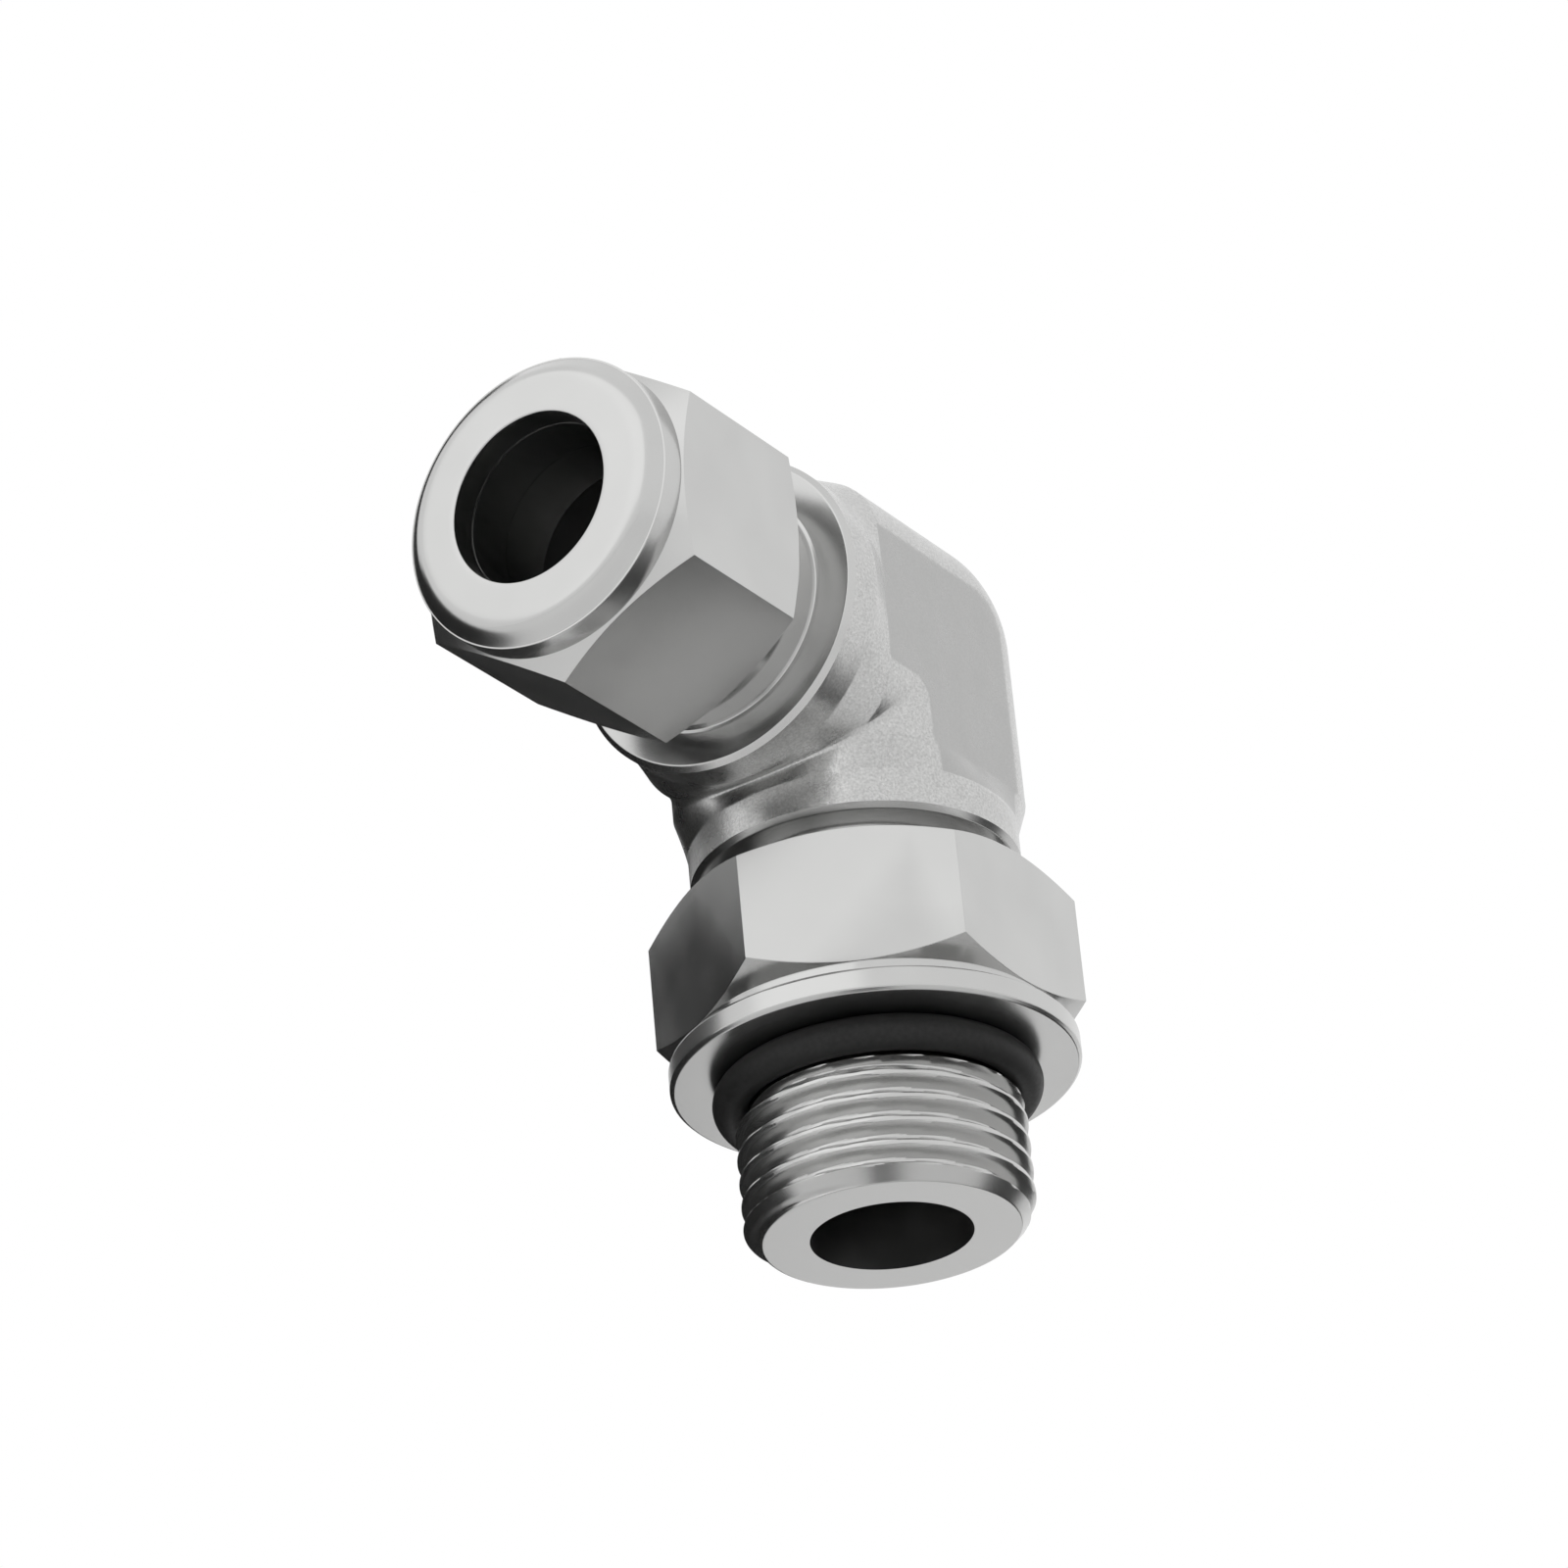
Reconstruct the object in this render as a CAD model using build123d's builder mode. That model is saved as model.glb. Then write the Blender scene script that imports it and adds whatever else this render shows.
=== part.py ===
from build123d import *
import math
import os

# A positionable male elbow for 1/2 in tube, with a G 1/2 stud. All sizes are in millimetres.
# The stud's end face is at the origin and the stud points down. The tube arm points along -Y,
# and the body's wrench flats face +X and -X. Places along either arm are measured from the
# elbow's centre, where the axes of the two arms cross.

# Elbow body, a forging with two square arms
centre_height = 44.0          # from the stud's end face to the elbow's centre
flat_half = 11.11             # axis to wrench flat, for 7/8 in across the flats
corner_radius = 5.8           # rounding of the long edges of the arms
heel_radius = 8.6             # outside of the bend, seen from the side
arm_length = 10.3             # where the square arms end
collar_start = 13.0           # where the round collars begin
collar_step = 1.0             # from the wrench flats out to the round collars
tube_collar_end = 16.1        # shoulder face of the tube arm
stud_collar_end = 15.9        # shoulder face of the stud arm
collar_bevel = 0.4

# Tube end of the body
neck_radius = 8.9             # thread undercut beside the shoulder
neck_length = 2.2
tube_thread_radius = 9.525    # crests of the 3/4-20 thread
tube_end = 31.3               # face of the cone mouth
thread_bevel = 0.6            # at the ends of the threads
tube_radius = 6.35            # 1/2 in tube
tube_clearance = 0.08         # radial, round the tube
tube_stop = 15.7              # step that the tube's end rests on
mouth_radius = 7.55
mouth_angle = 12.0            # half angle of the cone mouth, degrees
tube_passage_radius = 5.2

# Stud
stud_radius = 10.4775         # crests of the G 1/2 thread
stud_bevel = 1.2              # at the stud's end
stud_passage_radius = 5.86
undercut_radius = 9.3         # below the shoulder, and in the seal groove
undercut_length = 1.5
drill_overrun = 1.5           # how far both drilled passages run past the centre
drill_half_angle = 59.0       # of the drill points, degrees

# Seal ring, washer and lock nut
ring_section = 2.6            # thickness of the seal ring
ring_sides = 12               # of the seal ring's section
seat_gap = 0.02               # between pieces that rest on each other
washer_face = 31.75           # lower face of the washer
washer_overhang = 0.15        # how far the washer reaches past the upper thread
washer_width = 4.32           # radial
washer_thickness = 1.9
washer_bevel = 0.25
thread_clearance = 0.05       # radial, between a thread and what turns or slides on it
lock_wall = 2.9725            # from the thread to a flat, for 27 mm across the flats
lock_hex_height = 10.6
lock_boss_step = 0.1          # from a flat in to the round boss
lock_boss_height = 1.1
lock_turn = 29.2              # a corner of the hexagon, from +X towards +Y, degrees
nut_bevel_angle = 30.0        # of the bevelled hexagon corners, degrees

# Tube nut
nut_wall = 1.5375             # from the thread to a flat, for 7/8 in across the flats
nut_face = 38.6               # front face
nut_length = 17.25
nut_boss_step = 0.16          # from a flat in to the round front
nut_boss_length = 3.0
nut_face_rounding = 1.2
nut_rear_step = 0.11          # from a flat in to where the rear bevel starts
nut_bore_bevel = 0.15
nut_turn = 26.1               # a corner of the hexagon, from +X towards +Z, degrees
chamber_play = 0.3            # radial, round the ferrules inside the nut
chamber_lead = 0.9            # from the body's end to the nut's inner shoulder

# Ferrules
ferrule_seat = 2.25           # from the nut's front face to the back ferrule
ferrule_clearance = 0.05      # from each ferrule to what it rests in
back_length = 3.88
back_flange_radius = 7.9
back_flange_length = 1.4
nose_wall = 0.35              # at the tip of the back ferrule's nose
nose_angle = 20.0             # half angle of the back ferrule's nose, degrees
front_setback = 2.45          # from the back ferrule's rear face to the front ferrule's
front_flange_radius = 8.15
front_flange_length = 1.3
front_reach = 3.3             # how far the front ferrule lies in the cone mouth

# Values that follow from the ones above
bore_radius = tube_radius + tube_clearance
collar_radius = flat_half + collar_step
groove_top = washer_face - washer_overhang
groove_bottom = washer_face + ring_section + 2 * seat_gap
ring_radius = undercut_radius + seat_gap + ring_section / 2
washer_top = washer_face - washer_thickness
stud_bore_radius = stud_radius + thread_clearance
washer_radius = stud_bore_radius + washer_width
lock_height = lock_hex_height + lock_boss_height
lock_top = washer_top - seat_gap - lock_height
lock_half = stud_bore_radius + lock_wall
lock_boss_radius = lock_half - lock_boss_step
nut_rear = nut_face - nut_length
nut_thread_radius = tube_thread_radius + thread_clearance
nut_half = nut_thread_radius + nut_wall
nut_boss_radius = nut_half - nut_boss_step
nut_rear_radius = nut_half - nut_rear_step
back_rear = nut_face - ferrule_seat
back_tip = back_rear - back_length
nose_radius = bore_radius + nose_wall
front_rear = back_rear - front_setback
front_tip = tube_end - front_reach
chamber_start = tube_end + chamber_lead
chamber_radius = max(front_flange_radius, back_flange_radius) + chamber_play

# Sections across an arm lie on these planes, with their second coordinate towards the
# outside of the bend.
centre = (0, 0, centre_height)
tube_arm = Plane(origin=centre, x_dir=(1, 0, 0), z_dir=(0, -1, 0))
stud_arm = Plane(origin=centre, x_dir=(-1, 0, 0), z_dir=(0, 0, -1))

# Half sections lie on these planes: the first coordinate runs along the arm and the second
# one outwards from its axis.
tube_profile = Plane(origin=centre, x_dir=(0, -1, 0), z_dir=(1, 0, 0))
stud_profile = Plane(origin=centre, x_dir=(0, 0, -1), z_dir=(1, 0, 0))
tube_axis = Axis(centre, (0, -1, 0))
stud_axis = Axis(centre, (0, 0, -1))


def widening(angle, length):
    """How much a cone of this half angle widens its radius over the length."""
    return length * math.tan(math.radians(angle))


def lengthening(angle, rise):
    """The length in which a cone of this half angle widens its radius by the rise."""
    return rise / math.tan(math.radians(angle))


def half_section(points):
    """A face with straight sides through the points, in the sketch that is open."""
    with BuildLine() as outline:
        Polyline(*points, close=True)
    make_face(outline.edges())


def octagon_of_arcs(radius):
    """A full disc whose edge is split into eight arcs, one for each side of a square arm."""
    half_flat = math.degrees(math.atan2(flat_half - corner_radius, flat_half))
    with BuildLine() as outline:
        for quarter in range(4):
            CenterArc((0, 0), radius, 90 * quarter - half_flat, 2 * half_flat)
            CenterArc((0, 0), radius, 90 * quarter + half_flat, 90 - 2 * half_flat)
    make_face(outline.edges())


def bevelled_hexagon(start, end, half_flats, start_radius, end_radius):
    """Half section of a hexagon's corner, whose bevels start at these radii on its end faces."""
    corner = 2 * half_flats / math.sqrt(3)
    return [
        (start, 0),
        (start, start_radius),
        (start + widening(nut_bevel_angle, corner - start_radius), corner),
        (end - widening(nut_bevel_angle, corner - end_radius), corner),
        (end, end_radius),
    ]


# The outside of the bend: a block with a round heel and rounded long edges. The square arms
# are trimmed to it.
with BuildPart() as heel:
    with BuildSketch(Plane(origin=centre, x_dir=(0, 1, 0), z_dir=(1, 0, 0))):
        side = Rectangle(2 * flat_half, 2 * flat_half)
        fillet(side.vertices().sort_by(Axis((0, 0, 0), (0, 1, 1)))[-1], heel_radius)
    extrude(amount=flat_half, both=True)
    flats = heel.faces().sort_by(Axis.X)
    outwards = Axis((0, 0, 0), (0, 1, 1))
    long_edges = flats[0].edges().sort_by(outwards)[2:] + flats[-1].edges().sort_by(outwards)[2:]
    fillet(long_edges, corner_radius)

# Elbow body
with BuildPart() as elbow_body:
    # Square arms, rounded on the inside of the bend here and on the outside by the heel.
    for arm in (tube_arm, stud_arm):
        with BuildSketch(arm.offset(-flat_half)):
            section = Rectangle(2 * flat_half, 2 * flat_half)
            fillet(section.vertices().sort_by(Axis.Y)[:2], corner_radius)
        extrude(amount=flat_half + arm_length)
    add(heel.part, mode=Mode.INTERSECT)
    # Each square arm runs out into a round collar.
    for arm in (tube_arm, stud_arm):
        with BuildSketch(arm.offset(arm_length)):
            RectangleRounded(2 * flat_half, 2 * flat_half, corner_radius)
        with BuildSketch(arm.offset(collar_start)):
            octagon_of_arcs(collar_radius)
        loft()
    # Tube end: collar, undercut and thread.
    with BuildSketch(tube_profile):
        half_section([
            (0, 0),
            (0, neck_radius),
            (collar_start, neck_radius),
            (collar_start, collar_radius),
            (tube_collar_end - collar_bevel, collar_radius),
            (tube_collar_end, collar_radius - collar_bevel),
            (tube_collar_end, neck_radius),
            (tube_collar_end + neck_length, neck_radius),
            (tube_collar_end + neck_length + thread_bevel, tube_thread_radius),
            (tube_end - thread_bevel, tube_thread_radius),
            (tube_end, tube_thread_radius - thread_bevel),
            (tube_end, 0),
        ])
    revolve(axis=tube_axis)
    # Stud: collar, undercut, upper thread, seal groove and lower thread.
    with BuildSketch(stud_profile):
        half_section([
            (0, 0),
            (0, undercut_radius),
            (collar_start, undercut_radius),
            (collar_start, collar_radius),
            (stud_collar_end - collar_bevel, collar_radius),
            (stud_collar_end, collar_radius - collar_bevel),
            (stud_collar_end, undercut_radius),
            (stud_collar_end + undercut_length, undercut_radius),
            (stud_collar_end + undercut_length + thread_bevel, stud_radius),
            (groove_top, stud_radius),
            (groove_top, undercut_radius),
            (groove_bottom, undercut_radius),
            (groove_bottom, stud_radius - thread_bevel),
            (groove_bottom + thread_bevel, stud_radius),
            (centre_height - stud_bevel, stud_radius),
            (centre_height, stud_radius - stud_bevel),
            (centre_height, 0),
        ])
    revolve(axis=stud_axis)
    # Tube socket with its cone mouth, and the drilled passage behind it.
    with BuildSketch(tube_profile):
        half_section([
            (-drill_overrun - lengthening(drill_half_angle, tube_passage_radius), 0),
            (-drill_overrun, tube_passage_radius),
            (tube_stop, tube_passage_radius),
            (tube_stop, bore_radius),
            (tube_end - lengthening(mouth_angle, mouth_radius - bore_radius), bore_radius),
            (tube_end, mouth_radius),
            (tube_end, 0),
        ])
    revolve(axis=tube_axis, mode=Mode.SUBTRACT)
    # Drilled passage of the stud.
    with BuildSketch(stud_profile):
        half_section([
            (-drill_overrun - lengthening(drill_half_angle, stud_passage_radius), 0),
            (-drill_overrun, stud_passage_radius),
            (centre_height, stud_passage_radius),
            (centre_height, 0),
        ])
    revolve(axis=stud_axis, mode=Mode.SUBTRACT)

# Seal ring, which lies in the groove between the washer and the lower thread.
with BuildPart() as o_ring:
    with BuildSketch(stud_profile):
        with Locations((washer_face + seat_gap + ring_section / 2, ring_radius)):
            RegularPolygon(ring_section / 2, ring_sides, major_radius=False, rotation=180 / ring_sides)
    revolve(axis=stud_axis)

# Back-up washer, a flat ring with broken outer edges.
with BuildPart() as backup_washer:
    with BuildSketch(stud_arm.offset(washer_top)):
        Circle(washer_radius)
        Circle(stud_bore_radius, mode=Mode.SUBTRACT)
    extrude(amount=washer_thickness)
    rim = backup_washer.edges().filter_by(GeomType.CIRCLE).sort_by(SortBy.RADIUS)[-2:]
    chamfer(rim, washer_bevel)

# Lock nut, a hexagon with bevelled corners and a round boss that bears on the washer.
with BuildPart() as lock_nut:
    with BuildSketch(stud_arm.offset(lock_top)):
        RegularPolygon(lock_half, 6, major_radius=False, rotation=-lock_turn)
    extrude(amount=lock_height)
    with BuildSketch(stud_profile):
        hexagon_end = lock_top + lock_hex_height
        half_section([
            *bevelled_hexagon(lock_top, hexagon_end, lock_half, lock_boss_radius, lock_boss_radius),
            (lock_top + lock_height, lock_boss_radius),
            (lock_top + lock_height, 0),
        ])
    revolve(axis=stud_axis, mode=Mode.INTERSECT)
    with BuildSketch(stud_profile):
        half_section([
            (lock_top, 0),
            (lock_top, stud_bore_radius + thread_bevel),
            (lock_top + thread_bevel, stud_bore_radius),
            (lock_top + lock_height - thread_bevel, stud_bore_radius),
            (lock_top + lock_height, stud_bore_radius + thread_bevel),
            (lock_top + lock_height, 0),
        ])
    revolve(axis=stud_axis, mode=Mode.SUBTRACT)

# Tube nut, a hexagon with a round front. Inside, from the front: the tube's hole, the seat
# that pushes the back ferrule, the chamber round both ferrules and the thread.
with BuildPart() as tube_nut:
    with BuildSketch(tube_arm.offset(nut_rear)):
        RegularPolygon(nut_half, 6, major_radius=False, rotation=nut_turn)
    extrude(amount=nut_length)
    with BuildSketch(tube_profile):
        hexagon_end = nut_face - nut_boss_length
        half_section([
            *bevelled_hexagon(nut_rear, hexagon_end, nut_half, nut_rear_radius, nut_boss_radius),
            (nut_face, nut_boss_radius),
            (nut_face, 0),
        ])
    revolve(axis=tube_axis, mode=Mode.INTERSECT)
    front_edge = tube_nut.faces().sort_by(Axis.Y)[0].edges()
    fillet(front_edge, nut_face_rounding)
    with BuildSketch(tube_profile):
        half_section([
            (nut_rear, 0),
            (nut_rear, nut_thread_radius + thread_bevel),
            (nut_rear + thread_bevel, nut_thread_radius),
            (chamber_start, nut_thread_radius),
            (chamber_start, chamber_radius),
            (back_rear + ferrule_clearance, chamber_radius),
            (back_rear + ferrule_clearance, bore_radius),
            (nut_face - nut_bore_bevel, bore_radius),
            (nut_face, bore_radius + nut_bore_bevel),
            (nut_face, 0),
        ])
    revolve(axis=tube_axis, mode=Mode.SUBTRACT)

# Back ferrule, a flange with a tapered nose.
with BuildPart() as back_ferrule:
    with BuildSketch(tube_profile):
        flange_front = back_rear - back_flange_length
        half_section([
            (back_tip, bore_radius),
            (back_tip, nose_radius),
            (flange_front, nose_radius + widening(nose_angle, flange_front - back_tip)),
            (flange_front, back_flange_radius),
            (back_rear, back_flange_radius),
            (back_rear, bore_radius),
        ])
    revolve(axis=tube_axis)

# Front ferrule, whose cup holds the back ferrule's nose and whose cone lies in the mouth.
with BuildPart() as front_ferrule:
    with BuildSketch(tube_profile):
        flange_front = front_rear - front_flange_length
        cup_bottom = back_tip - ferrule_clearance
        cup_radius = nose_radius + ferrule_clearance
        cone_radius = mouth_radius - ferrule_clearance
        half_section([
            (front_tip, bore_radius),
            (front_tip, cone_radius - widening(mouth_angle, front_reach)),
            (flange_front, cone_radius + widening(mouth_angle, flange_front - tube_end)),
            (flange_front, front_flange_radius),
            (front_rear, front_flange_radius),
            (front_rear, cup_radius + widening(nose_angle, front_rear - cup_bottom)),
            (cup_bottom, cup_radius),
            (cup_bottom, bore_radius),
        ])
    revolve(axis=tube_axis)

elbow_body.part.label = "elbow_body"
o_ring.part.label = "o_ring"
backup_washer.part.label = "backup_washer"
lock_nut.part.label = "lock_nut"
tube_nut.part.label = "tube_nut"
back_ferrule.part.label = "back_ferrule"
front_ferrule.part.label = "front_ferrule"

os.makedirs("parts", exist_ok=True)
export_step(elbow_body.part, "parts/elbow_body.step")
export_step(o_ring.part, "parts/o_ring.step")
export_step(backup_washer.part, "parts/backup_washer.step")
export_step(lock_nut.part, "parts/lock_nut.step")
export_step(tube_nut.part, "parts/tube_nut.step")
export_step(back_ferrule.part, "parts/back_ferrule.step")
export_step(front_ferrule.part, "parts/front_ferrule.step")
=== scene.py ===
import bmesh
import bpy
import math
import numpy as np
from mathutils import Matrix, Vector


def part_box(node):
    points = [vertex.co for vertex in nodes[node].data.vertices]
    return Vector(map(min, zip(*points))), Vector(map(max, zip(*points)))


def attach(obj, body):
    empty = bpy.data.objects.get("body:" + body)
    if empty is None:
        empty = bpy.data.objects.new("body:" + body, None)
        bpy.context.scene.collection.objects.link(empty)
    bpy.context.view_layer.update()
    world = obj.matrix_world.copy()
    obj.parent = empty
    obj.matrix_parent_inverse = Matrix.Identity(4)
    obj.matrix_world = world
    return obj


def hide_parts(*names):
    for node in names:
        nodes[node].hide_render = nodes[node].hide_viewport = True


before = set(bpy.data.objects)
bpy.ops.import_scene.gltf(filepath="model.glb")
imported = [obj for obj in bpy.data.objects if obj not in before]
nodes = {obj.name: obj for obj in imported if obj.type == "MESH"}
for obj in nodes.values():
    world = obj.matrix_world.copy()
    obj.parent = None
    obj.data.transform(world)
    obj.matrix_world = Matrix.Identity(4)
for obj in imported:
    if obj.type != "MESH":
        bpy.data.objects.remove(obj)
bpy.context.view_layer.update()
print("frame loaded:", sorted(nodes))

# The tube arm points along -Y and the stud along -Z. Places along an arm are measured from
# the elbow's centre, where the two axes cross. Metres throughout.
mm = 0.001
centre = np.array([0.0, 0.0, 44.0 * mm])
around = 256                      # points round every ring
angles = np.linspace(0, 2 * np.pi, around, endpoint=False)
sharpAngles = {                   # degrees: edges that turn more than this stay hard
    "turned": 32,
    "forged": 50,
    "bore": 20,
    "ferrule": 30,
}


def linkPiece(name, mesh, material, sharpAngle=sharpAngles["turned"]):
    # A mesh as an object of the scene, shaded smooth between its hard edges.
    mesh.update(calc_edges=True)
    mesh.shade_smooth()
    mesh.set_sharp_from_angle(angle=math.radians(sharpAngle))
    mesh.materials.clear()
    mesh.materials.append(material)
    piece = bpy.data.objects.new(name, mesh)
    bpy.context.scene.collection.objects.link(piece)
    return piece


def ringGrid(name, rings, material, flipped=False, sharpAngle=sharpAngles["turned"]):
    # A grid of rings, (rings, around, 3), joined into quads and closed round each ring.
    count, width = rings.shape[:2]
    index = np.arange(count * width).reshape(count, width)
    beside = np.roll(index, -1, axis=1)
    quads = np.stack([index[:-1], beside[:-1], beside[1:], index[1:]], axis=-1).reshape(-1, 4)
    if flipped:
        quads = quads[:, ::-1]
    mesh = bpy.data.meshes.new(name)
    mesh.vertices.add(count * width)
    mesh.vertices.foreach_set("co", rings.reshape(-1).astype(np.float32))
    mesh.loops.add(quads.size)
    mesh.loops.foreach_set("vertex_index", quads.reshape(-1).astype(np.int32))
    mesh.polygons.add(len(quads))
    mesh.polygons.foreach_set("loop_start", np.arange(0, quads.size, 4, dtype=np.int32))
    return linkPiece(name, mesh, material, sharpAngle)


def armPoints(arm, along, radius, angle):
    # Points at a distance along an arm, a radius from its axis and an angle round it.
    # The tube arm's angle runs from +X to +Z, the stud's from +X to +Y.
    along, radius, angle = np.broadcast_arrays(along, radius, angle)
    across = radius * np.cos(angle)
    upwards = radius * np.sin(angle)
    if arm == "tube":
        return np.stack([across, -along, upwards], axis=-1) + centre
    return np.stack([across, upwards, -along], axis=-1) + centre


def refine(points, step):
    # A polyline of (along, radius) with extra points, so that no stretch is longer than step.
    points = np.asarray(points, float)
    pieces = []
    for first, last in zip(points[:-1], points[1:]):
        count = max(1, int(math.ceil(np.hypot(*(last - first)) / step)))
        shares = np.linspace(0, 1, count, endpoint=False)[:, None]
        pieces.append(first + (last - first) * shares)
    return np.vstack(pieces + [points[-1:]])


softening = {
    "points": 7,                  # on each curve
    "longest": 0.48,              # share of the shorter side that a curve takes at most
    "tiny": 1e-9,                 # keeps a corner that folds back from dividing by zero
}


def softened(points, radii):
    # An outline whose inner corners are turned into short curves: each is a quadratic curve
    # that starts and ends where an arc of that radius would touch the two sides.
    points = np.asarray(points, float)
    radii = np.broadcast_to(radii, len(points) - 2)
    steps = np.linspace(0, 1, softening["points"])[:, None]
    pieces = [points[:1]]
    for before, corner, after, radius in zip(points[:-2], points[1:-1], points[2:], radii):
        back = before - corner
        ahead = after - corner
        lengths = np.hypot(*back), np.hypot(*ahead)
        cosine = np.clip(back @ ahead / (lengths[0] * lengths[1]), -1, 1)
        touch = radius / math.tan(math.acos(cosine) / 2 + softening["tiny"])
        reach = min(touch, softening["longest"] * min(lengths))
        start = corner + back * reach / lengths[0]
        end = corner + ahead * reach / lengths[1]
        curve = (1 - steps) ** 2 * start + 2 * steps * (1 - steps) * corner + steps ** 2 * end
        pieces.append(curve)
    return np.vstack(pieces + [points[-1:]])


def threadWave(phase):
    # Height of a thread's flank over one pitch, from 0 in the root to 1 on the crest: straight
    # flanks with a rounded crest and root.
    flankSlope = 1.3
    triangle = np.abs(2 * (phase % 1.0) - 1)
    flank = np.clip((triangle - 0.5) * flankSlope + 0.5, 0, 1)
    return flank * flank * (3 - 2 * flank)


def threaded(profile, angle, size, start, end):
    # Radius of a turned profile, cut by a helical groove between two places along the arm. The
    # groove is shallower where the profile is already below the crest.
    along = profile[:, 0][:, None]
    radius = np.repeat(profile[:, 1][:, None], len(angle), axis=1)
    phase = along / size["pitch"] - angle[None, :] / (2 * np.pi)
    groove = size["threadRadius"] - size["threadDepth"] * (1 - threadWave(phase))
    inside = (along >= start) & (along <= end)
    return np.where(inside, np.minimum(radius, groove), radius)


# Materials. Each pattern reads Object coordinates, so its scale is in cycles per metre.


def newMaterial(name):
    # A material with the standard shader, for the patterns to be linked to.
    material = bpy.data.materials.new(name)
    material.use_nodes = True
    tree = material.node_tree
    shader = tree.nodes["Principled BSDF"]
    return material, tree, shader


def objectPattern(tree, stretch=(1, 1, 1)):
    # The place on the object, times a stretch along each axis.
    coordinates = tree.nodes.new("ShaderNodeTexCoord")
    mapping = tree.nodes.new("ShaderNodeMapping")
    mapping.inputs["Scale"].default_value = stretch
    tree.links.new(coordinates.outputs["Object"], mapping.inputs["Vector"])
    return mapping.outputs["Vector"]


def noise(tree, vector, scale, detail=2.0, rough=0.5):
    # A noise with so many cycles per metre, and finer layers on top of it.
    node = tree.nodes.new("ShaderNodeTexNoise")
    node.inputs["Scale"].default_value = scale
    node.inputs["Detail"].default_value = detail
    node.inputs["Roughness"].default_value = rough
    tree.links.new(vector, node.inputs["Vector"])
    return node.outputs["Fac"]


def ramp(tree, value, low, high):
    # Maps the range that holds most of a noise onto low to high.
    noiseLow, noiseHigh = 0.3, 0.7
    node = tree.nodes.new("ShaderNodeMapRange")
    node.inputs["From Min"].default_value = noiseLow
    node.inputs["From Max"].default_value = noiseHigh
    node.inputs["To Min"].default_value = low
    node.inputs["To Max"].default_value = high
    tree.links.new(value, node.inputs["Value"])
    return node.outputs["Result"]


def greys(tree, value, low, high):
    # A grey between two levels, driven by a pattern, with slightly less blue in it.
    blueShare = 0.99
    node = tree.nodes.new("ShaderNodeMix")
    node.data_type = "RGBA"
    node.inputs[6].default_value = (low, low, low * blueShare, 1)
    node.inputs[7].default_value = (high, high, high * blueShare, 1)
    tree.links.new(ramp(tree, value, 0, 1), node.inputs["Factor"])
    return node.outputs[2]


def bump(tree, height, distance, below=None):
    # The normal of a relief whose height is the pattern times the distance, on the one below.
    node = tree.nodes.new("ShaderNodeBump")
    node.inputs["Distance"].default_value = distance
    node.inputs["Strength"].default_value = 1.0
    tree.links.new(height, node.inputs["Height"])
    if below:
        tree.links.new(below, node.inputs["Normal"])
    return node.outputs["Normal"]


forgedLook = {
    "skin": (0.44, 0.64),        # blasted skin of the forging
    "flat": (0.41, 0.45),        # wrench flats
    "roughness": (0.24, 0.34),
    "flatStart": 11.09 * mm,     # farther than this from the middle plane lies a flat
    "flatBlend": 0.03 * mm,
    "flatTubeEnd": 10.45 * mm,   # where the flats end along the tube arm
    "flatStudEnd": 12.6 * mm,    # and along the stud arm
    "grainScale": 5200.0,        # blasted grain, about 0.2 mm
    "grainDetail": 3.0,
    "grainRough": 0.6,
    "grainDepth": 0.006 * mm,
    "waveScale": 420.0,          # slow unevenness of the forging
    "waveDepth": 0.05 * mm,
}
turnedLook = {
    "grey": (0.53, 0.57),
    "roughness": (0.21, 0.27),
    "blotchScale": 150.0,
    "markScale": 9000.0,         # tool marks round the axis
    "markStretch": 0.03,         # share of that scale across the axis
    "markDepth": 0.0006 * mm,
}
# Socket and drilled passages: a much darker grey than the turned steel, painted shade standing
# in for the dimness deep inside them.
boreShadeLook = {
    "grey": (0.15, 0.22),
    "roughness": (0.34, 0.42),
}
rubberLook = {
    "grey": (0.008, 0.016),
    "roughness": (0.48, 0.6),
    "specular": 0.3,
    "grainScale": 2600.0,
    "grainDepth": 0.01 * mm,
}


def onFlat(tree, vector):
    # 1 on the wrench flats and 0 elsewhere: the distance from the middle plane decides, up to
    # the place along each arm where the flats end.
    look = forgedLook
    split = tree.nodes.new("ShaderNodeSeparateXYZ")
    tree.links.new(vector, split.inputs["Vector"])
    distance = tree.nodes.new("ShaderNodeMath")
    distance.operation = "ABSOLUTE"
    tree.links.new(split.outputs["X"], distance.inputs[0])
    flat = tree.nodes.new("ShaderNodeMapRange")
    flat.inputs["From Min"].default_value = look["flatStart"] - look["flatBlend"] / 2
    flat.inputs["From Max"].default_value = look["flatStart"] + look["flatBlend"] / 2
    tree.links.new(distance.outputs[0], flat.inputs["Value"])
    result = flat.outputs["Result"]
    for axis, end in (("Y", -look["flatTubeEnd"]), ("Z", centre[2] - look["flatStudEnd"])):
        within = tree.nodes.new("ShaderNodeMath")
        within.operation = "GREATER_THAN"
        within.inputs[1].default_value = end
        tree.links.new(split.outputs[axis], within.inputs[0])
        both = tree.nodes.new("ShaderNodeMath")
        both.operation = "MULTIPLY"
        tree.links.new(result, both.inputs[0])
        tree.links.new(within.outputs[0], both.inputs[1])
        result = both.outputs[0]
    return result


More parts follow.
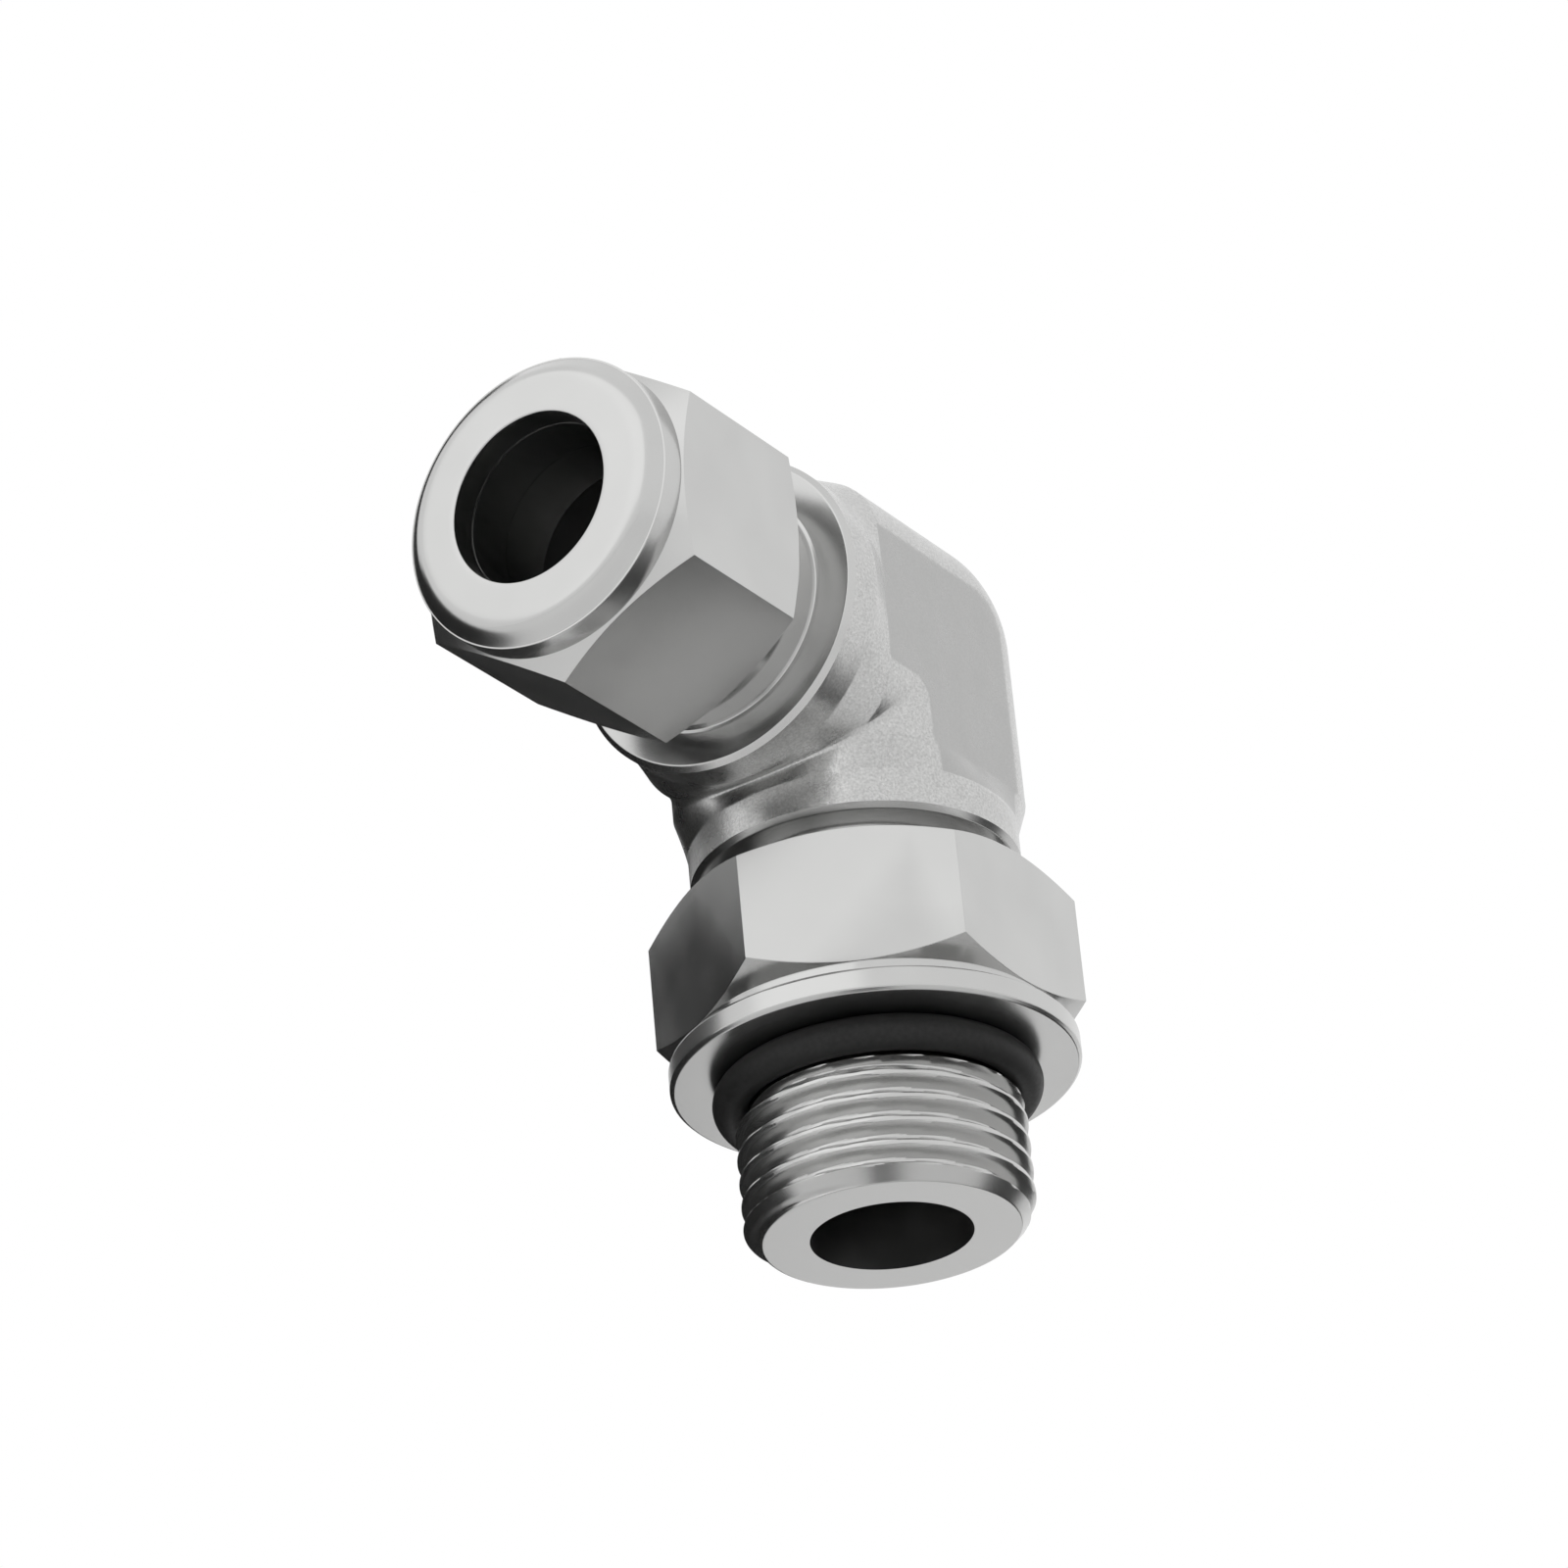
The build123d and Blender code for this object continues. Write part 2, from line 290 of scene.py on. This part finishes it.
def forgedSteel():
    # Blasted steel: a fine grain over slow waves, darker and more even on the flats.
    look = forgedLook
    material, tree, shader = newMaterial("forgedSteel")
    vector = objectPattern(tree)
    grain = noise(tree, vector, look["grainScale"], look["grainDetail"], look["grainRough"])
    wave = noise(tree, vector, look["waveScale"])
    shader.inputs["Metallic"].default_value = 1.0
    colour = tree.nodes.new("ShaderNodeMix")
    colour.data_type = "RGBA"
    tree.links.new(onFlat(tree, vector), colour.inputs["Factor"])
    tree.links.new(greys(tree, grain, *look["skin"]), colour.inputs[6])
    tree.links.new(greys(tree, grain, *look["flat"]), colour.inputs[7])
    tree.links.new(colour.outputs[2], shader.inputs["Base Color"])
    tree.links.new(ramp(tree, wave, *look["roughness"]), shader.inputs["Roughness"])
    uneven = bump(tree, wave, look["waveDepth"])
    relief = bump(tree, grain, look["grainDepth"], below=uneven)
    tree.links.new(relief, shader.inputs["Normal"])
    return material


def turnedSteel(name, axis, look=turnedLook):
    # Tool marks lie in rings round the axis, so the noise is squeezed along the axis and
    # stretched across it.
    material, tree, shader = newMaterial(name)
    stretch = [turnedLook["markStretch"]] * 3
    stretch[axis] = 1.0
    marks = noise(tree, objectPattern(tree, stretch), turnedLook["markScale"])
    blotch = noise(tree, objectPattern(tree), turnedLook["blotchScale"])
    shader.inputs["Metallic"].default_value = 1.0
    tree.links.new(greys(tree, blotch, *look["grey"]), shader.inputs["Base Color"])
    tree.links.new(ramp(tree, blotch, *look["roughness"]), shader.inputs["Roughness"])
    tree.links.new(bump(tree, marks, turnedLook["markDepth"]), shader.inputs["Normal"])
    return material


def sealRubber():
    # Nearly black, with a fine grain and a weak shine.
    look = rubberLook
    material, tree, shader = newMaterial("sealRubber")
    grain = noise(tree, objectPattern(tree), look["grainScale"])
    tree.links.new(greys(tree, grain, *look["grey"]), shader.inputs["Base Color"])
    tree.links.new(ramp(tree, grain, *look["roughness"]), shader.inputs["Roughness"])
    tree.links.new(bump(tree, grain, look["grainDepth"]), shader.inputs["Normal"])
    shader.inputs["Specular IOR Level"].default_value = look["specular"]
    return material


forged = forgedSteel()
turnedOnTube = turnedSteel("turnedSteelTube", 1)
turnedOnStud = turnedSteel("turnedSteelStud", 2)
# Darker steel for the socket and passages: its grey is painted shade for the insides of the
# bores.
boreSteelPaintedShade = turnedSteel("boreSteelPaintedShade", 1, boreShadeLook)
rubber = sealRubber()
print("materials made")

# The forging: rings from the tube collar, round the bend, to the stud collar. The tube end
# and the stud, which are turned, begin at its rims.

forging = {
    "flatHalf": 11.11 * mm,       # axis to wrench flat
    "flatDepth": 0.06 * mm,       # how far the flats lie below the forged sides
    "cornerRadius": 6.5 * mm,     # rounding of the long edges
    "heelRadius": 8.6 * mm,       # outside of the bend
    "armLength": 10.3 * mm,       # where the square section ends
    "collarStart": 13.0 * mm,     # where the round collars begin
    "collarRadius": 12.11 * mm,
    "collarBevel": 0.4 * mm,
    "creaseRadius": 0.35 * mm,    # fillet inside the bend
    "pivot": 12.4 * mm,           # the rings of the bend turn about this line
    "armRings": 22,
    "bendRings": 150,
    "searchReach": 25 * mm,       # the skin lies nearer than this to every ring's middle
    "halvings": 34,
}
tubeEnd = {
    "collarEnd": 16.1 * mm,
    "neckRadius": 8.9 * mm,
    "neckFillet": 0.35 * mm,      # in the corner of the collar and the neck
    "neckFilletMiddle": 0.1 * mm,
    "neckEnd": 18.3 * mm,
    "threadRadius": 9.525 * mm,
    "threadDepth": 0.78 * mm,
    "threadStart": 20.9 * mm,     # the first groove lies inside the nut
    "pitch": 1.27 * mm,
    "stepsPerPitch": 14,
    "end": 31.3 * mm,
    "bevel": 0.6 * mm,
    "mouthRadius": 7.55 * mm,
}
stud = {
    "collarEnd": 15.9 * mm,
    "undercutRadius": 9.3 * mm,
    "undercutEnd": 17.4 * mm,
    "threadRadius": 10.4775 * mm,
    "threadDepth": 1.162 * mm,
    "pitch": 1.814 * mm,
    "stepsPerPitch": 16,
    "bevel": 0.6 * mm,            # at the ends of the threads beside the grooves
    "grooveTop": 31.6 * mm,       # the seal ring's groove
    "grooveBottom": 34.39 * mm,
    "end": 44.0 * mm,
    "endBevel": 1.2 * mm,
    "passageRadius": 5.86 * mm,
}


def roundedMax(a, b, radius):
    # Where two half spaces meet: the larger distance, with the outer edge rounded.
    a = a + radius
    b = b + radius
    outer = np.hypot(np.maximum(a, 0), np.maximum(b, 0))
    return outer + np.minimum(np.maximum(a, b), 0) - radius


def roundedMin(a, b, radius):
    # The union of two solids, with a fillet of this radius where they meet.
    inner = np.hypot(np.maximum(radius - a, 0), np.maximum(radius - b, 0))
    return np.maximum(radius, np.minimum(a, b)) - inner


def forgingField(points):
    # Signed distance from the forging's skin, negative inside. Each arm is a square with
    # rounded corners that fades into a round collar, the outside of the bend is a block with
    # a round heel, and a fillet joins the arms inside the bend.
    x, y, z = np.moveaxis(points - centre, -1, 0)
    size = forging["flatHalf"]
    corner = forging["cornerRadius"]
    flats = np.abs(x) - size
    sides = np.abs(x) - size - forging["flatDepth"]
    heel = roundedMax(y - size, z - size, forging["heelRadius"])
    outside = np.maximum(roundedMax(sides, heel, corner), flats)
    fadeLength = forging["collarStart"] - forging["armLength"]
    under = []
    over = []
    for along, across in ((-y, z), (-z, y)):
        fade = np.clip((along - forging["armLength"]) / fadeLength, 0, 1)
        collar = np.hypot(x, across) - forging["collarRadius"]
        inside = np.maximum(roundedMax(sides, -across - size, corner), flats)
        under.append((1 - fade) * inside + fade * collar)
        over.append((1 - fade) * outside + fade * collar)
    outer = np.where(y < z, over[0], over[1])
    return np.maximum(outer, roundedMin(under[0], under[1], forging["creaseRadius"]))


def forgingRings():
    # Ring planes stand across the tube arm, turn about a line inside the bend, and then stand
    # across the stud. On each ray from a ring's middle, halving the interval finds the skin.
    pivot = forging["pivot"]
    armRings = forging["armRings"]
    tubeRim = tubeEnd["collarEnd"] - forging["collarBevel"]
    studRim = stud["collarEnd"] - forging["collarBevel"]
    tubeStations = np.linspace(tubeRim, pivot, armRings)
    turns = np.linspace(0, np.pi / 2, forging["bendRings"])[1:-1]
    studStations = np.linspace(pivot, studRim, armRings)
    middles = np.concatenate([
        np.stack([tubeStations * 0, -tubeStations, tubeStations * 0], axis=1),
        np.stack([turns * 0, pivot * (np.sin(turns) - 1), pivot * (np.cos(turns) - 1)], axis=1),
        np.stack([studStations * 0, studStations * 0, -studStations], axis=1),
    ]) + centre
    tilt = np.concatenate([tubeStations * 0, turns, studStations * 0 + np.pi / 2])
    outwards = np.stack([tilt * 0, np.sin(tilt), np.cos(tilt)], axis=1)
    rays = (np.cos(angles)[None, :, None] * np.array([1.0, 0, 0])
            + np.sin(angles)[None, :, None] * outwards[:, None, :])
    low = np.zeros(rays.shape[:2])
    high = np.full(rays.shape[:2], forging["searchReach"])
    for _ in range(forging["halvings"]):
        middle = (low + high) / 2
        solid = forgingField(middles[:, None] + middle[..., None] * rays) < 0
        low = np.where(solid, middle, low)
        high = np.where(solid, high, middle)
    return middles[:, None] + low[..., None] * rays


elbowForging = ringGrid("elbowForging", forgingRings(), forged, flipped=True,
                        sharpAngle=sharpAngles["forged"])
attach(elbowForging, "elbow")
print("forging made")

# The turned pieces. An outline is a list of (along, radius).

nut = {
    "face": 38.6 * mm,
    "bossEnd": 35.6 * mm,         # where the round front meets the hexagon
    "bossRadius": 10.9525 * mm,
    "crownStart": 37.5 * mm,      # where the taper round the face begins
    "crownStep": 0.12 * mm,
    "crownAngle": 47.0,           # half angle of the taper, degrees
    "crownRounding": 1.5 * mm,    # between the taper and the face
    "stepEdge": 0.075 * mm,       # rounding of the step's edge
    "stepFoot": 0.03 * mm,        # and of its foot
    "brokenEdge": 0.15 * mm,      # rounding of the other edges
    "boreRadius": 6.43 * mm,
    "seat": 36.4 * mm,            # pushes on the back ferrule
    "chamberRadius": 8.45 * mm,
    "chamberStart": 32.2 * mm,
    "threadRadius": 9.575 * mm,
    "rear": 21.35 * mm,
    "rearRadius": 11.0025 * mm,
    "rearBevel": 0.6 * mm,
    "step": 0.35 * mm,            # between its rings
}


def turnedPiece(name, arm, outline, size, threadSpans, material, flipped, step, body="elbow"):
    # A turned profile carried round an arm's axis, with a helical thread cut in each span.
    profile = refine(outline, step)
    radius = profile[:, 1][:, None] + 0 * angles[None, :]
    for start, end in threadSpans:
        radius = np.minimum(radius, threaded(profile, angles, size, start, end))
    points = armPoints(arm, profile[:, 0][:, None], radius, angles[None, :])
    piece = ringGrid(name, points, material, flipped)
    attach(piece, body)


def tubeEndOutline():
    # From the collar's rim over its face, the neck and the thread to the mouth.
    size = tubeEnd
    bevel = size["bevel"]
    collar = forging["collarRadius"]
    return [
        (size["collarEnd"] - forging["collarBevel"], collar),
        (size["collarEnd"], collar - forging["collarBevel"]),
        (size["collarEnd"], size["neckRadius"] + size["neckFillet"]),
        (size["collarEnd"] + size["neckFilletMiddle"],
         size["neckRadius"] + size["neckFilletMiddle"]),
        (size["collarEnd"] + size["neckFillet"], size["neckRadius"]),
        (size["neckEnd"], size["neckRadius"]),
        (size["neckEnd"] + bevel, size["threadRadius"]),
        (size["end"] - bevel, size["threadRadius"]),
        (size["end"], size["threadRadius"] - bevel),
        (size["end"], size["mouthRadius"]),
    ]


def studOutline():
    # From the collar's rim over the undercut, the upper thread, the seal ring's groove and
    # the lower thread to the passage.
    size = stud
    bevel = size["bevel"]
    collar = forging["collarRadius"]
    return [
        (size["collarEnd"] - forging["collarBevel"], collar),
        (size["collarEnd"], collar - forging["collarBevel"]),
        (size["collarEnd"], size["undercutRadius"]),
        (size["undercutEnd"], size["undercutRadius"]),
        (size["undercutEnd"] + bevel, size["threadRadius"]),
        (size["grooveTop"], size["threadRadius"]),
        (size["grooveTop"], size["undercutRadius"]),
        (size["grooveBottom"], size["undercutRadius"]),
        (size["grooveBottom"], size["threadRadius"] - bevel),
        (size["grooveBottom"] + bevel, size["threadRadius"]),
        (size["end"] - size["endBevel"], size["threadRadius"]),
        (size["end"], size["threadRadius"] - size["endBevel"]),
        (size["end"], size["passageRadius"]),
    ]


def nutOutline():
    # From the hexagon's front, round the face, through the bore and back to its rear face.
    size = nut
    taper = (size["face"] - size["crownStart"]) * math.tan(math.radians(size["crownAngle"]))
    crown = size["bossRadius"] - size["crownStep"]
    outline = [
        (size["bossEnd"], size["bossRadius"]),
        (size["crownStart"], size["bossRadius"]),
        (size["crownStart"], crown),
        (size["face"], crown - taper),
        (size["face"], size["boreRadius"]),
        (size["seat"], size["boreRadius"]),
        (size["seat"], size["chamberRadius"]),
        (size["chamberStart"], size["chamberRadius"]),
        (size["chamberStart"], size["threadRadius"]),
        (size["rear"] + size["rearBevel"], size["threadRadius"]),
        (size["rear"], size["threadRadius"] + size["rearBevel"]),
        (size["rear"], size["rearRadius"]),
    ]
    crownRadii = [size["stepEdge"], size["stepFoot"], size["crownRounding"]]
    otherRadii = [size["brokenEdge"]] * (len(outline) - 2 - len(crownRadii))
    return softened(outline, crownRadii + otherRadii)


softEdge = 0.18 * mm
turnedPiece(
    "tubeThread", "tube", softened(tubeEndOutline(), softEdge), tubeEnd,
    [(tubeEnd["threadStart"], tubeEnd["end"])],
    turnedOnTube, False, tubeEnd["pitch"] / tubeEnd["stepsPerPitch"])
turnedPiece(
    "studThread", "stud", softened(studOutline(), softEdge), stud,
    [(stud["undercutEnd"], stud["grooveTop"]), (stud["grooveBottom"], stud["end"])],
    turnedOnStud, True, stud["pitch"] / stud["stepsPerPitch"])
turnedPiece(
    "tubeNutTurned", "tube", nutOutline(), nut, [],
    turnedOnTube, False, nut["step"], "tube_nut")
print("threads cut")

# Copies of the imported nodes, for the shapes that the solids already have.

copying = {
    "mergeDistance": 0.0005 * mm,
    "planeAngle": 0.3,            # degrees: faces nearer to one plane than this become one
    "bevelAngle": 20,             # degrees: edges that turn more than this are broken
    "bevelSegments": 3,
    "nutEdge": 0.12 * mm,         # width of a nut's broken edges
    "washerEdge": 0.08 * mm,
}
boreWalls = {
    "tubeReach": 7.56 * mm,       # radius that holds the socket and its cone mouth
    "past": 6 * mm,               # how far past the elbow's centre the walls may reach
    "studSlack": 0.05 * mm,
    "mouthGap": 0.01 * mm,        # leaves out the tube end's face
}
hexagon = {
    "bossGap": 0.01 * mm,         # leaves out the nut's round front
    "rearGap": 0.001 * mm,        # and its rear face
    "frontSlack": 0.05 * mm,
}


def cadCopy(name, node, material, body, keep=None, bevel=None,
            sharpAngle=sharpAngles["turned"]):
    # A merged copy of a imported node, with only the faces whose middles pass the test, and
    # with its sharp edges broken.
    mesh = nodes[node].data.copy()
    work = bmesh.new()
    work.from_mesh(mesh)
    bmesh.ops.remove_doubles(work, verts=work.verts, dist=copying["mergeDistance"])
    if keep:
        lost = [face for face in work.faces if not keep(face.calc_center_median())]
        bmesh.ops.delete(work, geom=lost, context="FACES")
    if bevel:
        bmesh.ops.dissolve_limit(work, angle_limit=math.radians(copying["planeAngle"]),
                                 verts=work.verts, edges=work.edges)
    work.to_mesh(mesh)
    work.free()
    piece = linkPiece(name, mesh, material, sharpAngle)
    if bevel:
        edges = piece.modifiers.new("brokenEdges", "BEVEL")
        edges.width = bevel
        edges.segments = copying["bevelSegments"]
        edges.limit_method = "ANGLE"
        edges.angle_limit = math.radians(copying["bevelAngle"])
        edges.harden_normals = True
    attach(piece, body)
    return piece


def inPassages(place):
    # True on the walls of the tube socket and of the drilled passages, which end a little way
    # past the elbow's centre. The outer faces beyond them are left out.
    size = boreWalls
    fromTubeAxis = math.hypot(place.x, place.z - centre[2])
    fromStudAxis = math.hypot(place.x, place.y)
    mouth = -tubeEnd["end"] + size["mouthGap"]
    tubeWall = fromTubeAxis < size["tubeReach"] and mouth < place.y < size["past"]
    inStud = fromStudAxis < stud["passageRadius"] + size["studSlack"]
    studWall = inStud and place.z < centre[2] + size["past"]
    return tubeWall or studWall


def onHexagon(place):
    # True on the flats of the tube nut and on the bevels of its corners.
    along = -place.y
    fromAxis = math.hypot(place.x, place.z - centre[2])
    rear = nut["rear"] + hexagon["rearGap"]
    front = nut["bossEnd"] + hexagon["frontSlack"]
    return fromAxis > nut["bossRadius"] + hexagon["bossGap"] and rear < along < front


# The socket and passage walls carry the darkened steel, whose grey is painted shade.
cadCopy("passages", "elbow_body", boreSteelPaintedShade, "elbow",
        keep=inPassages, sharpAngle=sharpAngles["bore"])
tubeNut = cadCopy("tubeNut", "tube_nut", turnedOnTube, "tube_nut",
                  keep=onHexagon, bevel=copying["nutEdge"])
lockNut = cadCopy("lockNut", "lock_nut", turnedOnStud, "lock_nut",
                  bevel=copying["nutEdge"])
washer = cadCopy("backupWasher", "backup_washer", turnedOnStud, "washer",
                 bevel=copying["washerEdge"])
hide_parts("elbow_body")
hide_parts("tube_nut")
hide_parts("lock_nut")
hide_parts("backup_washer")


def sealRing():
    # A round section carried round the stud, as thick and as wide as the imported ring.
    low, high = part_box("o_ring")
    section = (high.z - low.z) / 2
    radius = high.x - section
    place = centre[2] - (high.z + low.z) / 2
    sectionPoints = 49
    turn = np.linspace(0, 2 * np.pi, sectionPoints)[:, None]
    points = armPoints("stud", place - section * np.cos(turn), radius + section * np.sin(turn),
                       angles[None, :])
    ring = ringGrid("sealRing", points, rubber, flipped=True)
    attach(ring, "elbow")
    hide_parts("o_ring")


sealRing()
for name in ("back_ferrule", "front_ferrule"):
    nodes[name].data.materials.clear()
    nodes[name].data.materials.append(turnedOnTube)
    nodes[name].data.set_sharp_from_angle(angle=math.radians(sharpAngles["ferrule"]))
print("nuts, washer, ring and ferrules dressed")

# Stage, light and camera.

studio = {
    "floorSize": 6,
    "floorHeight": -0.30,
    "floorGrey": 0.93,
    "floorRoughness": 0.9,
    "cardGrey": 0.01,
    "cardRoughness": 1.0,
    "worldSeen": 1.0,             # the world's strength for the camera and for reflections
    "worldDiffuse": 0.95,         # and for diffuse light
}
cards = {                         # each card's corners, in order
    "leftCard": [(-0.25, -0.16, -0.24), (-0.25, 0.33, -0.24),
                 (-0.25, 0.33, 0.155), (-0.25, -0.16, 0.155)],
    "nearCard": [(-0.06, -0.035, 0.06), (-0.06, 0.09, 0.06),
                 (-0.06, 0.09, 0.14), (-0.06, -0.035, 0.14)],
    "backCard": [(-0.05, 0.2, -0.27), (0.24, 0.2, -0.27),
                 (0.24, 0.2, -0.06), (-0.05, 0.2, -0.06)],
    "lowCard": [(0.02, -0.13, -0.2), (0.1, -0.13, -0.2),
                (0.1, -0.07, -0.2), (0.02, -0.07, -0.2)],
}
keyLamp = {
    "place": (-0.05, -0.9, 0.65),
    "aim": (0, 0, 0.03),
    "size": (1.2, 1.0),
    "power": 1.2,
}
photoCamera = {
    "right": (0.82140, 0.56411, -0.08418),
    "down": (-0.32505, 0.34172, -0.88180),
    "forward": (-0.46866, 0.75167, 0.46405),
    "centreSeen": (3.960, -6.796, 482.020),    # the elbow's centre from the camera, mm
    "focalPixels": 6653.3,
    "picturePixels": 1600,
    "sensorWidth": 36,
    "clipStart": 0.01,
}


def makeFloor():
    # A large sheet of light paper, well below the object.
    place = (0, 0, studio["floorHeight"])
    bpy.ops.mesh.primitive_plane_add(size=studio["floorSize"], location=place)
    floor = bpy.context.object
    floor.name = "floor"
    material, _, shader = newMaterial("floorPaper")
    grey = studio["floorGrey"]
    shader.inputs["Base Color"].default_value = (grey, grey, grey, 1)
    shader.inputs["Roughness"].default_value = studio["floorRoughness"]
    floor.data.materials.append(material)


def makeCard(name, corners):
    # A black card beside the object, which the camera doesn't see but the metal does.
    mesh = bpy.data.meshes.new(name)
    mesh.from_pydata(corners, [], [(0, 1, 2, 3)])
    card = bpy.data.objects.new(name, mesh)
    bpy.context.scene.collection.objects.link(card)
    material, _, shader = newMaterial(name)
    grey = studio["cardGrey"]
    shader.inputs["Base Color"].default_value = (grey, grey, grey, 1)
    shader.inputs["Roughness"].default_value = studio["cardRoughness"]
    mesh.materials.append(material)
    card.visible_camera = False


def makeWorld():
    # White wherever the camera or a reflection looks, and a softer level for diffuse light.
    world = bpy.data.worlds.new("studioWorld")
    bpy.context.scene.world = world
    world.use_nodes = True
    tree = world.node_tree
    background = tree.nodes["Background"]
    paths = tree.nodes.new("ShaderNodeLightPath")
    seen = paths.outputs["Is Camera Ray"]
    for output in ("Is Glossy Ray", "Is Transmission Ray"):
        either = tree.nodes.new("ShaderNodeMath")
        either.operation = "MAXIMUM"
        tree.links.new(seen, either.inputs[0])
        tree.links.new(paths.outputs[output], either.inputs[1])
        seen = either.outputs[0]
    level = tree.nodes.new("ShaderNodeMapRange")
    level.inputs["To Min"].default_value = studio["worldDiffuse"]
    level.inputs["To Max"].default_value = studio["worldSeen"]
    tree.links.new(seen, level.inputs["Value"])
    tree.links.new(level.outputs["Result"], background.inputs["Strength"])
    background.inputs["Color"].default_value = (1, 1, 1, 1)


def makeLamp(name, place, aim, size, power):
    # A rectangular lamp at a place, turned to face the point that it aims at.
    lamp = bpy.data.lights.new(name, "AREA")
    lamp.shape = "RECTANGLE"
    lamp.size, lamp.size_y = size
    lamp.energy = power
    holder = bpy.data.objects.new(name, lamp)
    holder.location = place
    holder.rotation_euler = (Vector(aim) - Vector(place)).to_track_quat("-Z", "Y").to_euler()
    bpy.context.scene.collection.objects.link(holder)


def makeCamera():
    # The photograph's camera, which stands below the object and looks up at it. Its place is
    # the elbow's centre, less where that centre is seen along the camera's own three axes.
    size = photoCamera
    right = Vector(size["right"])
    down = Vector(size["down"])
    forward = Vector(size["forward"])
    shift = Vector(size["centreSeen"]) * mm
    place = Vector(centre) - (right * shift.x + down * shift.y + forward * shift.z)
    camera = bpy.data.cameras.new("photoCamera")
    camera.sensor_width = size["sensorWidth"]
    camera.lens = size["sensorWidth"] * size["focalPixels"] / size["picturePixels"]
    camera.clip_start = size["clipStart"]
    holder = bpy.data.objects.new("photoCamera", camera)
    turn = Matrix((right, -down, -forward)).transposed()
    holder.matrix_world = Matrix.Translation(place) @ turn.to_4x4()
    bpy.context.scene.collection.objects.link(holder)
    bpy.context.scene.camera = holder


makeFloor()
makeWorld()
for name, corners in cards.items():
    makeCard(name, corners)
makeLamp("keyLamp", **keyLamp)
makeCamera()
bpy.context.scene.view_settings.view_transform = "Standard"
